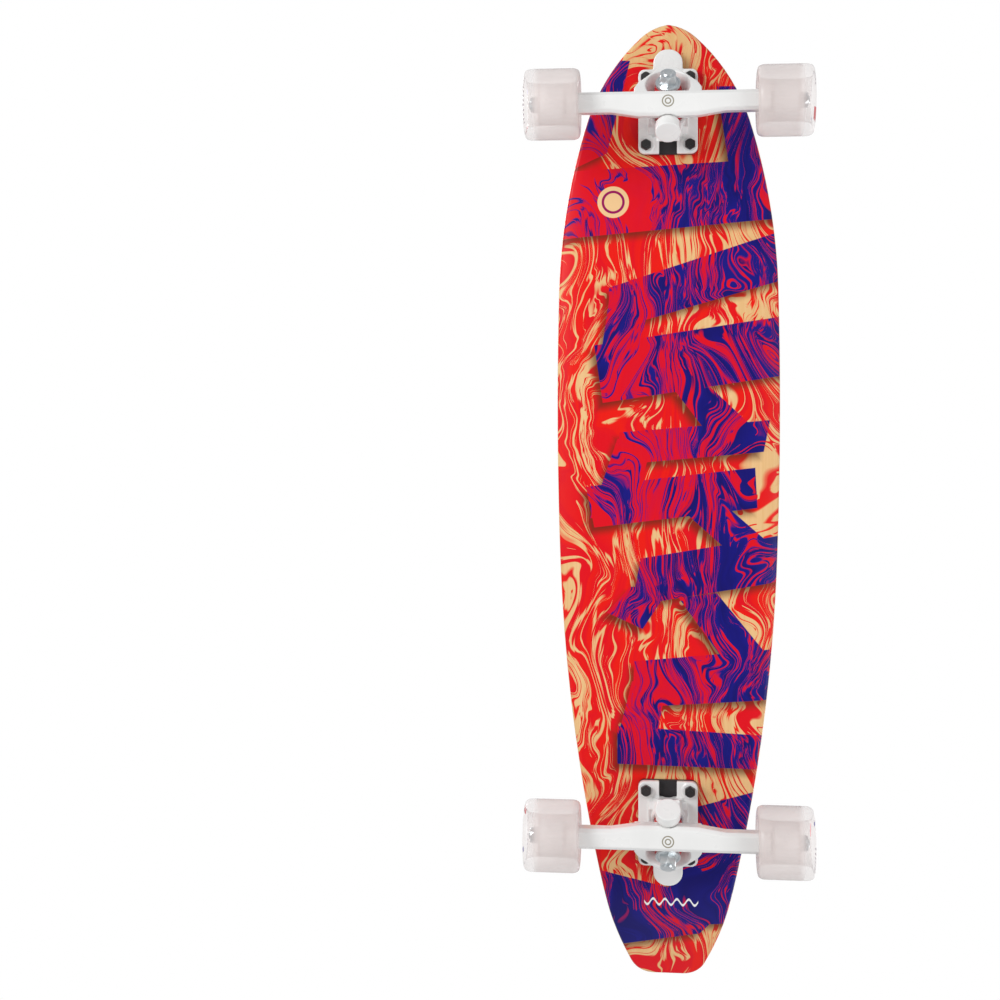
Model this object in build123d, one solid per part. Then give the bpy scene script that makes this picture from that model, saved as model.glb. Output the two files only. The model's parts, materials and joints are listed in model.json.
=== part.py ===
from build123d import *
import math
import os

# Longboard skateboard, millimetres. +X towards the nose, +Y to the rider's left, +Z up.
# The origin is on the ground, under the middle of the deck.

# Deck
DECK_LENGTH = 915.0
DECK_THICKNESS = 11.0
DECK_BOTTOM = 94.5
DECK_EDGE_RADIUS = 3.4
FLAT_HALF_WIDTH = 74.0
RAIL_REACH = 38.0
RAIL_RADIUS = 90.0
PLATFORM_END = 108.0
KICK_RADIUS = 130.0
KICK_ANGLE = 23.0
GRIP_INSET = 3.3
GRIP_THICKNESS = 1.0

# The deck's side, from the middle of the nose tip to the tail's corner: tangent arcs,
# each with its radius and the angle that it turns, in degrees.
SIDE_ARCS = [
    (11.0, 10.0),
    (48.1, 32.19),
    (181.0, 30.19),
    (590.0, 16.08),
    (4000.0, 3.66),
    (1676.0, 11.4),
    (316.5, 12.0),
]

# Truck mounting: the bolt pattern's centres and spacing
FRONT_X = 373.2
REAR_X = -299.9
BOLT_SPACING_X = 63.5
BOLT_SPACING_Y = 41.3
BOLT_RADIUS = 2.4
BOLT_HOLE_RADIUS = 2.7
BOLT_HEAD_RADIUS = 4.7
BOLT_HEAD_DEPTH = 2.6
BOLT_HEAD_CLEARANCE = 0.1
CROSS_SLOT_LENGTH = 5.4
CROSS_SLOT_WIDTH = 1.1
CROSS_SLOT_DEPTH = 1.5
BOLT_BELOW_PLATE = 7.0
MOUNTING_NUT_HEX = 9.5
MOUNTING_NUT_HEIGHT = 5.4

# Riser pad and baseplate, in the truck's own frame: x outward, z up from the deck's underside
RISER_THICKNESS = 3.5
PLATE_THICKNESS = 6.0
PLATE_LENGTH = 80.0
PLATE_WIDTH = 56.0
PLATE_CORNER = 6.0
NOTCH_WIDTH = 16.6
NOTCH_DEPTH = 16.6
TONGUE_REACH = 18.5
TONGUE_WIDTH = 27.6
NOTCH_CORNER = 2.5
BOLT_PAD_RADIUS = 7.5
BOLT_PAD_HEIGHT = 1.2
BLOCK_RADIUS = 15.5
POST_HALF_WIDTH = 10.5
GUSSET_Y = 15.0
GUSSET_HALF_THICKNESS = 3.5

# Steering geometry
KINGPIN_LEAN = 42.0
RING_X = 6.2
RING_Z = -35.0
PIVOT_DISTANCE = 38.0
AXLE_X = -1.0
AXLE_Z = -62.0

# Kingpin stack, measured along the kingpin from the middle of the hanger's ring
KINGPIN_RADIUS = 4.76
KINGPIN_HEAD_HEX = 14.0
KINGPIN_HEAD_HEIGHT = 6.0
KINGPIN_SEAT_WALL = 5.0
KINGPIN_POCKET_RADIUS = 8.2
KINGPIN_END = 31.5
KINGPIN_NUT_HEX = 14.3
KINGPIN_NUT_HEIGHT = 10.0
WEB_HALF = 3.5
BUSHING_HEIGHT = 14.0
DECK_BUSHING_RADIUS = 14.0
ROAD_BUSHING_RADIUS = 13.0
WASHER_HEIGHT = 2.5
DECK_WASHER_RADIUS = 14.0
ROAD_WASHER_RADIUS = 11.6
SEAT = WEB_HALF + BUSHING_HEIGHT + WASHER_HEIGHT

# Hanger
HANGER_HALF = 92.5
BAR_SECTION = 18.5
BAR_OUTER = 8.6
BAR_INNER_BULGE = 14.3
BULGE_HALF = 27.0
BULGE_END = 52.0
BAR_CHAMFER = 3.2
HANGER_HOLE_RADIUS = 7.5
BOWL_HEIGHT = 18.0
BOWL_RADIUS_LOW = 14.2
BOWL_RADIUS_HIGH = 21.0
BUSHING_CLEARANCE_RADIUS = 13.8
YOKE_CORNER = 5.0
COLLAR_RADIUS = 8.6
COLLAR_LENGTH = 14.0
PIVOT_BALL_RADIUS = 6.3
PIVOT_STEM_RADIUS = 5.2
PIVOT_ROOT_RADIUS = 9.0
PIVOT_STEM_LENGTH = 24.0
PIVOT_CLEARANCE = 0.1
PIVOT_CUP_THICKNESS = 2.2
PIVOT_BOSS_RADIUS = 11.5

# Wheels, bearings and axle
WHEEL_RADIUS = 32.5
WHEEL_WIDTH = 51.0
WHEEL_Y = 105.5
WHEEL_LIP = 5.0
CORE_RADIUS = 19.0
CORE_WIDTH = 24.0
CORE_BORE = 9.5
WINDOW_COUNT = 12
WINDOW_RADIUS = 15.2
WINDOW_SIZE = (3.6, 4.2, 6.0)
AXLE_RADIUS = 4.0
AXLE_HALF = 127.0
BEARING_WIDTH = 7.0
BEARING_RADIUS = 11.0
BEARING_GAP = 10.0
RACE_OUTER_BORE = 9.3
RACE_INNER_RADIUS = 6.0
BALL_RADIUS = 1.95
BALL_PITCH = 7.65
BALL_COUNT = 7
CAGE_THICKNESS = 1.0
CAGE_HEIGHT = 5.2
BALL_CLEARANCE = 0.1
SHIELD_THICKNESS = 0.4
SHIELD_GAP = 0.25
SPACER_RADIUS = 5.4
SPEED_WASHER_THICKNESS = 1.0
SPEED_WASHER_RADIUS = 5.9
AXLE_NUT_HEX = 13.0
AXLE_NUT_HEIGHT = 7.0

HALF_LENGTH = DECK_LENGTH / 2
PLATE_TOP = -RISER_THICKNESS
PLATE_FACE = PLATE_TOP - PLATE_THICKNESS
BEARING_OFFSET = (BEARING_GAP + BEARING_WIDTH) / 2
ENDS = [("front", FRONT_X, 0), ("rear", REAR_X, 180)]
SIDES = [("left", 1), ("right", -1)]
MIRRORS = [(1, 1), (1, -1), (-1, 1), (-1, -1)]
ABOVE = (Align.CENTER, Align.CENTER, Align.MIN)
BELOW = (Align.CENTER, Align.CENTER, Align.MAX)

LEAN = math.radians(KINGPIN_LEAN)
KINGPIN_DIR = Vector(math.sin(LEAN), 0, -math.cos(LEAN))
PIVOT_DIR = Vector(math.cos(LEAN), 0, math.sin(LEAN))
RING = Vector(RING_X, 0, RING_Z)
PIVOT = RING - PIVOT_DIR * PIVOT_DISTANCE

# Stations along the kingpin start at the ring's middle and grow towards the nut;
# the plane's own x runs along the steering axis, away from the pivot.
KINGPIN_PLANE = Plane(origin=RING, x_dir=PIVOT_DIR, z_dir=KINGPIN_DIR)
PIVOT_PLANE = Plane(origin=PIVOT, x_dir=(0, 1, 0), z_dir=PIVOT_DIR)


def at_kingpin(shape, station=0.0):
    """Stands a shape on the kingpin's axis at a station along it."""
    return KINGPIN_PLANE * Pos(0, 0, station) * shape


def at_axle(shape, y=0.0):
    """Lays a shape drawn about Z along the truck's axle."""
    return Pos(AXLE_X, y, AXLE_Z) * Rot(-90, 0, 0) * shape


def tube(outer, inner, height):
    """A plain ring about Z, centred on the origin."""
    return Cylinder(outer, height) - Cylinder(inner, height + 1)


def hex_prism(across_flats, height):
    """A hexagon about Z, standing on the origin."""
    sketch = RegularPolygon(across_flats / 2, 6, major_radius=False)
    return extrude(sketch, height)


def hex_nut(across_flats, height, bore):
    """A hexagon nut with its corners turned off at both ends."""
    corner = across_flats / math.sqrt(3)
    envelope = Cone(corner + 1.2, corner - 1.0, height, align=ABOVE)
    lower = Cone(corner - 0.6, corner + 3.0, height, align=ABOVE)
    body = hex_prism(across_flats, height) & envelope & lower
    return body - Cylinder(bore, 3 * height)


def ring_from_profile(points):
    """Turns a closed (radius, height) profile about Z."""
    face = make_face(Polyline(points, close=True))
    return revolve(Plane.XZ * face, Axis.Z)


# ---------------------------------------------------------------- deck


def deck_outline(inset=0.0):
    """The deck's plan view as one face."""
    start = (HALF_LENGTH, 0)
    heading = 90.0
    side = []
    for radius, turn in SIDE_ARCS:
        direction = (math.cos(math.radians(heading)), math.sin(math.radians(heading)))
        side.append(JernArc(start, direction, radius, turn))
        start = side[-1] @ 1
        heading += turn
    remaining = start.X + HALF_LENGTH
    radius = remaining / (1 + math.sin(math.radians(heading)))
    direction = (math.cos(math.radians(heading)), math.sin(math.radians(heading)))
    side.append(JernArc(start, direction, radius, 270 - heading))
    corner = side[-1] @ 1
    half = Curve() + side
    end = Line(corner, (corner.X, -corner.Y))
    outline = make_face(Curve() + side + [end] + mirror(half, Plane.XZ).edges())
    if inset:
        outline = offset(outline, -inset)
    return outline


def section(bottom, top):
    """The board's cross-section between two heights above its underside, with raised rails."""
    half = FLAT_HALF_WIDTH + RAIL_REACH

    def rail(height):
        radius = RAIL_RADIUS - height
        rise = radius - math.sqrt(radius**2 - RAIL_REACH**2)
        start = (FLAT_HALF_WIDTH, height)
        return TangentArc(start, (half, height + rise), tangent=(1, 0)), height + rise

    low, low_end = rail(bottom)
    high, high_end = rail(top)
    edges = [
        Line((0, bottom), (FLAT_HALF_WIDTH, bottom)),
        low,
        Line((half, low_end), (half, high_end)),
        high,
        Line((FLAT_HALF_WIDTH, top), (0, top)),
        Line((0, top), (0, bottom)),
    ]
    right = make_face(Curve() + edges)
    return right + mirror(right, Plane.YZ)


def board(bottom, top, inset=0.0):
    """A layer of the board that follows the platform, the bend and the kick."""
    start = PLATFORM_END - HALF_LENGTH
    face = Plane(origin=(start, 0, DECK_BOTTOM), x_dir=(0, 1, 0), z_dir=(1, 0, 0)) * section(bottom, top)
    platform = extrude(face, DECK_LENGTH, dir=(1, 0, 0))
    hinge = Axis((start, 0, DECK_BOTTOM + KICK_RADIUS), (0, 1, 0))
    bend = revolve(face, hinge, KICK_ANGLE)
    turned = face.rotate(hinge, KICK_ANGLE)
    slope = math.radians(KICK_ANGLE)
    kick = extrude(turned, PLATFORM_END, dir=(-math.cos(slope), 0, math.sin(slope)))
    prism = Pos(0, 0, DECK_BOTTOM - 20) * extrude(deck_outline(inset), 120)
    return (platform + bend + kick) & prism


def bolt_places():
    """The eight truck bolts' places in plan."""
    return [
        (x + sx * BOLT_SPACING_X / 2, sy * BOLT_SPACING_Y / 2)
        for x in (FRONT_X, REAR_X)
        for sx, sy in MIRRORS
    ]


def bolt_head(radius):
    """A countersunk head hanging from the origin."""
    return Cone(BOLT_RADIUS, radius, BOLT_HEAD_DEPTH, align=BELOW)


def deck():
    body = board(0, DECK_THICKNESS)
    sides = body.faces().filter_by(lambda f: abs(f.normal_at().Z) < 0.05)
    rim = [e for e in sides.edges() if abs(e.tangent_at(0.5).Z) < 0.9]
    body = fillet(rim, DECK_EDGE_RADIUS)
    top = DECK_BOTTOM + DECK_THICKNESS
    for x, y in bolt_places():
        body -= Pos(x, y, DECK_BOTTOM) * Cylinder(BOLT_HOLE_RADIUS, 3 * DECK_THICKNESS)
        body -= Pos(x, y, top) * bolt_head(BOLT_HEAD_RADIUS)
    return body


def grip_tape():
    body = board(DECK_THICKNESS, DECK_THICKNESS + GRIP_THICKNESS, GRIP_INSET)
    for x, y in bolt_places():
        hole = Cylinder(BOLT_HEAD_RADIUS + BOLT_HEAD_CLEARANCE, 8)
        body -= Pos(x, y, DECK_BOTTOM + DECK_THICKNESS) * hole
    return body


# ---------------------------------------------------------------- truck mounting


def plate_sketch(notched=True):
    """The plan of the riser pad and the baseplate; the notch opens towards the deck's middle."""
    plan = RectangleRounded(PLATE_LENGTH, PLATE_WIDTH, PLATE_CORNER)
    if notched:
        notch = RectangleRounded(2 * NOTCH_DEPTH, NOTCH_WIDTH, NOTCH_CORNER)
        plan -= Pos(-PLATE_LENGTH / 2, 0) * notch
    return plan


def truck_bolts(shape, z):
    """Four copies of a shape at the truck's bolt holes."""
    return [
        Pos(sx * BOLT_SPACING_X / 2, sy * BOLT_SPACING_Y / 2, z) * shape
        for sx, sy in MIRRORS
    ]


def riser_pad():
    body = Pos(0, 0, -RISER_THICKNESS) * extrude(plate_sketch(False), RISER_THICKNESS)
    for hole in truck_bolts(Cylinder(BOLT_HOLE_RADIUS, 20), 0):
        body -= hole
    return body


def plate_block():
    """The baseplate's flat part with its bolt ears and outer tongue."""
    plate = Pos(0, 0, PLATE_FACE) * extrude(plate_sketch(), PLATE_THICKNESS)
    tongue_x = PLATE_LENGTH / 2 + TONGUE_REACH
    long_side = 2 * TONGUE_REACH + 30
    tongue_plan = RectangleRounded(long_side, TONGUE_WIDTH, TONGUE_WIDTH / 2 - 1)
    tongue = Pos(tongue_x - long_side / 2, 0, PLATE_FACE) * extrude(tongue_plan, PLATE_THICKNESS)
    return plate + tongue


def pivot_post():
    """The tapered post that carries the pivot cup, seen from the side and given its width."""
    lip = PIVOT - PIVOT_DIR * 8 - KINGPIN_DIR * PIVOT_BOSS_RADIUS
    shoulder = PIVOT + PIVOT_DIR * 2 - KINGPIN_DIR * PIVOT_BOSS_RADIUS
    crotch = RING - PIVOT_DIR * 15 - KINGPIN_DIR * SEAT
    seat_end = RING + PIVOT_DIR * 11 - KINGPIN_DIR * SEAT
    inner = NOTCH_DEPTH - PLATE_LENGTH / 2
    outline = [
        (inner, PLATE_FACE + 1),
        (lip.X, lip.Z),
        (PIVOT.X, PIVOT.Z),
        (shoulder.X, shoulder.Z),
        (crotch.X, crotch.Z),
        (seat_end.X, seat_end.Z),
        (seat_end.X, PLATE_FACE + 1),
    ]
    face = make_face(Polyline(outline, close=True))
    return extrude(Plane.XZ * face, POST_HALF_WIDTH, both=True)


def gussets():
    """Two ribs that brace the post and the kingpin block to the plate's sides."""
    outline = [
        (-20, PLATE_FACE + 1),
        (-23, -16),
        (-17, -22),
        (-9, -17),
        (0, PLATE_FACE + 1),
    ]
    face = make_face(Polyline(outline, close=True))
    rib = extrude(Plane.XZ * face, GUSSET_HALF_THICKNESS, both=True)
    return [Pos(0, side * GUSSET_Y, 0) * rib for side in (1, -1)]


def baseplate():
    """The cast baseplate: plate, kingpin block, pivot post and boss."""
    body = plate_block()
    block = at_kingpin(Cylinder(BLOCK_RADIUS, 40, align=BELOW), -SEAT)
    body += block & (Pos(10, 0, PLATE_TOP - 50) * Box(70, 60, 100))
    body += pivot_post()
    for rib in gussets():
        body += rib
    body += PIVOT_PLANE * Pos(0, 0, -4) * Cylinder(PIVOT_BOSS_RADIUS, 12)
    pad = Cylinder(BOLT_PAD_RADIUS, BOLT_PAD_HEIGHT, align=BELOW)
    for raised in truck_bolts(pad, PLATE_FACE):
        body += raised
    for hole in truck_bolts(Cylinder(BOLT_HOLE_RADIUS, 40), PLATE_FACE):
        body -= hole
    cup = PIVOT_BALL_RADIUS + PIVOT_CUP_THICKNESS
    body -= PIVOT_PLANE * Sphere(cup)
    body -= PIVOT_PLANE * Pos(0, 0, 5) * Cylinder(cup, 10)
    body -= at_kingpin(Cylinder(KINGPIN_RADIUS, 60), -SEAT)
    pocket = at_kingpin(Cylinder(KINGPIN_POCKET_RADIUS, 40, align=BELOW), -SEAT - KINGPIN_SEAT_WALL)
    body -= pocket & (Pos(30, 0, PLATE_TOP - 50) * Box(101, 60, 100.2))
    return body


def pivot_cup():
    """The plastic cup between the boss and the hanger's pivot."""
    outer = PIVOT_BALL_RADIUS + PIVOT_CUP_THICKNESS
    body = Sphere(outer) + Pos(0, 0, 1.0) * Cylinder(outer, 2.0)
    body = body - Pos(0, 0, 7) * Box(40, 40, 10)
    body -= Sphere(PIVOT_BALL_RADIUS + PIVOT_CLEARANCE)
    body -= Pos(0, 0, 5) * Cylinder(PIVOT_BALL_RADIUS + PIVOT_CLEARANCE, 10)
    return PIVOT_PLANE * body


# ---------------------------------------------------------------- kingpin stack


def kingpin():
    head_at = -SEAT - KINGPIN_SEAT_WALL
    shank = Cylinder(KINGPIN_RADIUS, KINGPIN_END - head_at, align=ABOVE)
    shank = chamfer(shank.faces().sort_by(Axis.Z)[-1].edges(), 0.9)
    body = at_kingpin(shank, head_at)
    head = hex_prism(KINGPIN_HEAD_HEX, KINGPIN_HEAD_HEIGHT)
    return body + at_kingpin(head, head_at - KINGPIN_HEAD_HEIGHT)


def kingpin_nut():
    return at_kingpin(hex_nut(KINGPIN_NUT_HEX, KINGPIN_NUT_HEIGHT, KINGPIN_RADIUS), SEAT)


def deck_bushing():
    """The barrel-shaped bushing on the deck's side."""
    r = DECK_BUSHING_RADIUS
    profile = [
        (KINGPIN_RADIUS + 0.1, 0),
        (r - 1.2, 0),
        (r, 2),
        (r, BUSHING_HEIGHT - 2),
        (r - 1.2, BUSHING_HEIGHT),
        (KINGPIN_RADIUS + 0.1, BUSHING_HEIGHT),
    ]
    return at_kingpin(ring_from_profile(profile), -WEB_HALF - BUSHING_HEIGHT)


def road_bushing():
    """The slightly conical bushing on the road's side."""
    r = ROAD_BUSHING_RADIUS
    profile = [
        (KINGPIN_RADIUS + 0.1, 0),
        (r - 0.8, 0),
        (r, 2),
        (r - 0.6, BUSHING_HEIGHT - 1.5),
        (r - 1.8, BUSHING_HEIGHT),
        (KINGPIN_RADIUS + 0.1, BUSHING_HEIGHT),
    ]
    return at_kingpin(ring_from_profile(profile), WEB_HALF)


def cup_washer(radius):
    """A pressed washer with a turned-up rim."""
    profile = [
        (KINGPIN_RADIUS, 0),
        (radius, 0),
        (radius, WASHER_HEIGHT),
        (radius - 1.1, WASHER_HEIGHT),
        (radius - 2.0, WASHER_HEIGHT * 0.6),
        (KINGPIN_RADIUS + 5.5, WASHER_HEIGHT * 0.6),
        (KINGPIN_RADIUS + 4.2, WASHER_HEIGHT),
        (KINGPIN_RADIUS, WASHER_HEIGHT),
    ]
    return ring_from_profile(profile)


def deck_washer():
    return at_kingpin(cup_washer(DECK_WASHER_RADIUS), -SEAT)


def road_washer():
    return at_kingpin(cup_washer(ROAD_WASHER_RADIUS), WEB_HALF + BUSHING_HEIGHT)


# ---------------------------------------------------------------- hanger


def hanger_bar():
    """The wheel axle's housing: straight arms, fuller on the inner side at the middle."""
    half = BAR_SECTION / 2
    inner = AXLE_X - half
    plan = Polyline(
        (BAR_OUTER, -HANGER_HALF),
        (BAR_OUTER, HANGER_HALF),
        (inner, HANGER_HALF),
        (inner, BULGE_END),
        (-BAR_INNER_BULGE, BULGE_HALF),
        (-BAR_INNER_BULGE, -BULGE_HALF),
        (inner, -BULGE_END),
        (inner, -HANGER_HALF),
        close=True,
    )
    bar = Pos(0, 0, AXLE_Z) * extrude(make_face(plan), half, both=True)
    long_edges = bar.edges().filter_by(lambda e: abs(e.tangent_at(0.5).Z) < 0.1 and e.length > 20)
    long_edges = long_edges.filter_by(lambda e: abs(e.tangent_at(0.5).Y) > 0.8)
    return chamfer(long_edges, BAR_CHAMFER)


def hanger_yoke():
    """The open-topped bowl around the kingpin that joins the bar."""
    outline = [
        (-22, 31),
        (-4, 31),
        (4, 27.5),
        (26.5, 7.5),
        (26.5, -7.5),
        (4, -27.5),
        (-4, -31),
        (-22, -31),
    ]
    corners = make_face(Polyline(outline, close=True))
    plan = fillet(corners.vertices().filter_by(lambda v: v.X > -10), YOKE_CORNER)
    body = at_kingpin(extrude(plan, BOWL_HEIGHT + WEB_HALF), -WEB_HALF)
    bowl = Cone(BOWL_RADIUS_LOW, BOWL_RADIUS_HIGH, BOWL_HEIGHT - WEB_HALF, align=ABOVE)
    return body - at_kingpin(bowl, WEB_HALF)


def hanger_pivot():
    """The pivot nose: a tapered stem that ends in a ball."""
    stem = Cone(PIVOT_STEM_RADIUS, PIVOT_ROOT_RADIUS, PIVOT_STEM_LENGTH, align=ABOVE)
    return PIVOT_PLANE * (Sphere(PIVOT_BALL_RADIUS) + stem)


def hanger():
    body = hanger_yoke() + hanger_bar() + hanger_pivot()
    for side in (1, -1):
        collar = Cylinder(COLLAR_RADIUS, COLLAR_LENGTH)
        body += at_axle(collar, side * (HANGER_HALF - COLLAR_LENGTH / 2))
    relief = PIVOT_BOSS_RADIUS + 1.2
    body -= PIVOT_PLANE * Pos(0, 0, -3) * tube(relief, PIVOT_BALL_RADIUS + 0.4, 12)
    body -= at_axle(Cylinder(AXLE_RADIUS, 3 * HANGER_HALF))
    body -= at_kingpin(Cylinder(HANGER_HOLE_RADIUS, 30))
    body -= at_kingpin(Cylinder(BUSHING_CLEARANCE_RADIUS, 40, align=ABOVE), WEB_HALF)
    return body


# ---------------------------------------------------------------- fasteners and axle


def mounting_bolt():
    """One countersunk machine screw, drawn with the deck's underside at zero."""
    top = DECK_THICKNESS + GRIP_THICKNESS
    end = PLATE_FACE - BOLT_BELOW_PLATE
    shank = Pos(0, 0, end) * Cylinder(BOLT_RADIUS, top - end, align=ABOVE)
    body = shank + Pos(0, 0, DECK_THICKNESS) * bolt_head(BOLT_HEAD_RADIUS)
    body += Pos(0, 0, DECK_THICKNESS + GRIP_THICKNESS / 2) * Cylinder(BOLT_HEAD_RADIUS, GRIP_THICKNESS)
    slot = Box(CROSS_SLOT_LENGTH, CROSS_SLOT_WIDTH, 2 * CROSS_SLOT_DEPTH)
    for turn in (0, 90):
        body -= Pos(0, 0, top) * Rot(0, 0, turn) * slot
    return body


def mounting_bolts():
    return truck_bolts(mounting_bolt(), 0)


def mounting_nuts():
    nut = Rot(180, 0, 0) * hex_nut(MOUNTING_NUT_HEX, MOUNTING_NUT_HEIGHT, BOLT_RADIUS)
    return truck_bolts(nut, PLATE_FACE - BOLT_PAD_HEIGHT)


def axle():
    rod = Cylinder(AXLE_RADIUS, 2 * AXLE_HALF)
    rod = chamfer(rod.edges(), 0.8)
    return at_axle(rod)


def on_axle_ends(shape, distance):
    """Two copies of a shape drawn along +Z, one at each end of the axle, both facing outward."""
    return [at_axle(shape, distance), Rot(0, 0, 180) * Pos(-2 * AXLE_X, 0, 0) * at_axle(shape, distance)]


def axle_nuts():
    distance = WHEEL_Y + BEARING_GAP / 2 + BEARING_WIDTH + SPEED_WASHER_THICKNESS
    nut = hex_nut(AXLE_NUT_HEX, AXLE_NUT_HEIGHT, AXLE_RADIUS)
    return on_axle_ends(nut, distance)


def speed_washers():
    reach = BEARING_GAP / 2 + BEARING_WIDTH + SPEED_WASHER_THICKNESS / 2
    washer = tube(SPEED_WASHER_RADIUS, AXLE_RADIUS, SPEED_WASHER_THICKNESS)
    return on_axle_ends(washer, WHEEL_Y + reach) + on_axle_ends(washer, WHEEL_Y - reach)


def bearing_spacers():
    return on_axle_ends(tube(SPACER_RADIUS, AXLE_RADIUS, BEARING_GAP), WHEEL_Y)


def groove():
    """The balls' path, a ring a little larger than the balls."""
    return Torus(BALL_PITCH, BALL_RADIUS + BALL_CLEARANCE)


def bearing_inner_rings():
    ring = tube(RACE_INNER_RADIUS, AXLE_RADIUS, BEARING_WIDTH) - groove()
    return [
        part
        for step in (-1, 1)
        for part in on_axle_ends(ring, WHEEL_Y + step * BEARING_OFFSET)
    ]


# ---------------------------------------------------------------- wheel


def wheel_pair(shape, side):
    """Two copies of a bearing piece in one wheel."""
    return [at_axle(shape, side * WHEEL_Y + step * BEARING_OFFSET) for step in (-1, 1)]


def wheel_tyre(side):
    """The cast tyre: rounded lips and a side recess that opens from the core outward."""
    half = WHEEL_WIDTH / 2
    core = CORE_WIDTH / 2
    r = WHEEL_RADIUS
    edges = [
        Line((CORE_RADIUS, -core), (CORE_RADIUS, core)),
        Line((CORE_RADIUS, core), (CORE_RADIUS + 1.5, half - 3.0)),
        Line((CORE_RADIUS + 1.5, half - 3.0), (CORE_RADIUS + 4.0, half - 0.6)),
        Line((CORE_RADIUS + 4.0, half - 0.6), (r - WHEEL_LIP, half)),
        TangentArc((r - WHEEL_LIP, half), (r, half - WHEEL_LIP), tangent=(1, 0)),
        Line((r, half - WHEEL_LIP), (r, WHEEL_LIP - half)),
        TangentArc((r, WHEEL_LIP - half), (r - WHEEL_LIP, -half), tangent=(0, -1)),
        Line((r - WHEEL_LIP, -half), (CORE_RADIUS + 4.0, 0.6 - half)),
        Line((CORE_RADIUS + 4.0, 0.6 - half), (CORE_RADIUS + 1.5, 3.0 - half)),
        Line((CORE_RADIUS + 1.5, 3.0 - half), (CORE_RADIUS, -core)),
    ]
    face = make_face(Curve() + edges)
    return at_axle(revolve(Plane.XZ * face, Axis.Z), side * WHEEL_Y)


def wheel_core(side):
    """The hard core: two bearing seats with a shoulder between them and spokes at the faces."""
    seat = BEARING_GAP / 2
    half = CORE_WIDTH / 2
    body = tube(CORE_RADIUS, CORE_BORE, CORE_WIDTH)
    for end in (1, -1):
        body -= Pos(0, 0, end * (half + seat) / 2) * Cylinder(BEARING_RADIUS, half - seat)
        window = Pos(WINDOW_RADIUS, 0, end * half) * Box(*WINDOW_SIZE)
        for turn in range(WINDOW_COUNT):
            body -= Rot(0, 0, turn * 360 / WINDOW_COUNT) * window
    return at_axle(body, side * WHEEL_Y)


def bearing_outer_rings(side):
    ring = tube(BEARING_RADIUS, RACE_OUTER_BORE, BEARING_WIDTH) - groove()
    return wheel_pair(ring, side)


def bearing_shields(side):
    """The bearings' four dust shields, two to a bearing."""
    shield = tube(RACE_OUTER_BORE, RACE_INNER_RADIUS + SHIELD_GAP, SHIELD_THICKNESS)
    height = BEARING_WIDTH / 2 - SHIELD_THICKNESS
    pair = [Pos(0, 0, end * height) * shield for end in (1, -1)]
    return [piece for s in pair for piece in wheel_pair(s, side)]


def bearing_balls(side):
    ball = Pos(BALL_PITCH, 0, 0) * Sphere(BALL_RADIUS)
    balls = [Rot(0, 0, i * 360 / BALL_COUNT) * ball for i in range(BALL_COUNT)]
    return [piece for b in balls for piece in wheel_pair(b, side)]


def bearing_cages(side):
    """The crown that keeps each bearing's balls apart."""
    cage = tube(BALL_PITCH + CAGE_THICKNESS / 2, BALL_PITCH - CAGE_THICKNESS / 2, CAGE_HEIGHT)
    hole = Cylinder(BALL_RADIUS + BALL_CLEARANCE, 4 * CAGE_THICKNESS)
    window = Pos(BALL_PITCH, 0, 0) * Rot(0, 90, 0) * hole
    for i in range(BALL_COUNT):
        cage -= Rot(0, 0, i * 360 / BALL_COUNT) * window
    return wheel_pair(cage, side)


# ---------------------------------------------------------------- assembly


def save(name, pieces, place=Pos(0, 0, 0)):
    """Writes one node's solids to its STEP file."""
    if not isinstance(pieces, list):
        pieces = [pieces]
    solids = [place * solid for piece in pieces for solid in piece.solids()]
    export_step(Compound(children=solids) if len(solids) > 1 else solids[0], f"parts/{name}.step")


TRUCK_PIECES = {
    "riser_pad": riser_pad,
    "baseplate": baseplate,
    "pivot_cup": pivot_cup,
    "kingpin": kingpin,
    "kingpin_nut": kingpin_nut,
    "deck_bushing": deck_bushing,
    "road_bushing": road_bushing,
    "deck_washer": deck_washer,
    "road_washer": road_washer,
    "mounting_bolts": mounting_bolts,
    "mounting_nuts": mounting_nuts,
    "hanger": hanger,
    "axle": axle,
    "axle_nuts": axle_nuts,
    "speed_washers": speed_washers,
    "bearing_spacers": bearing_spacers,
    "bearing_inner_rings": bearing_inner_rings,
}

WHEEL_PIECES = {
    "tyre": wheel_tyre,
    "core": wheel_core,
    "bearing_outer_rings": bearing_outer_rings,
    "bearing_shields": bearing_shields,
    "bearing_balls": bearing_balls,
    "bearing_cages": bearing_cages,
}

os.makedirs("parts", exist_ok=True)
save("deck", deck())
save("grip_tape", grip_tape())
for end, x, turn in ENDS:
    place = Pos(x, 0, DECK_BOTTOM) * Rot(0, 0, turn)
    for name, make in TRUCK_PIECES.items():
        save(f"{end}_{name}", make(), place)
    for side, sign in SIDES:
        own_side = sign if end == "front" else -sign
        for name, make in WHEEL_PIECES.items():
            save(f"{end}_{side}_{name}", make(own_side), place)
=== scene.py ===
import json
import math

import bmesh
import bpy
from mathutils import Matrix, Vector

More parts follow.
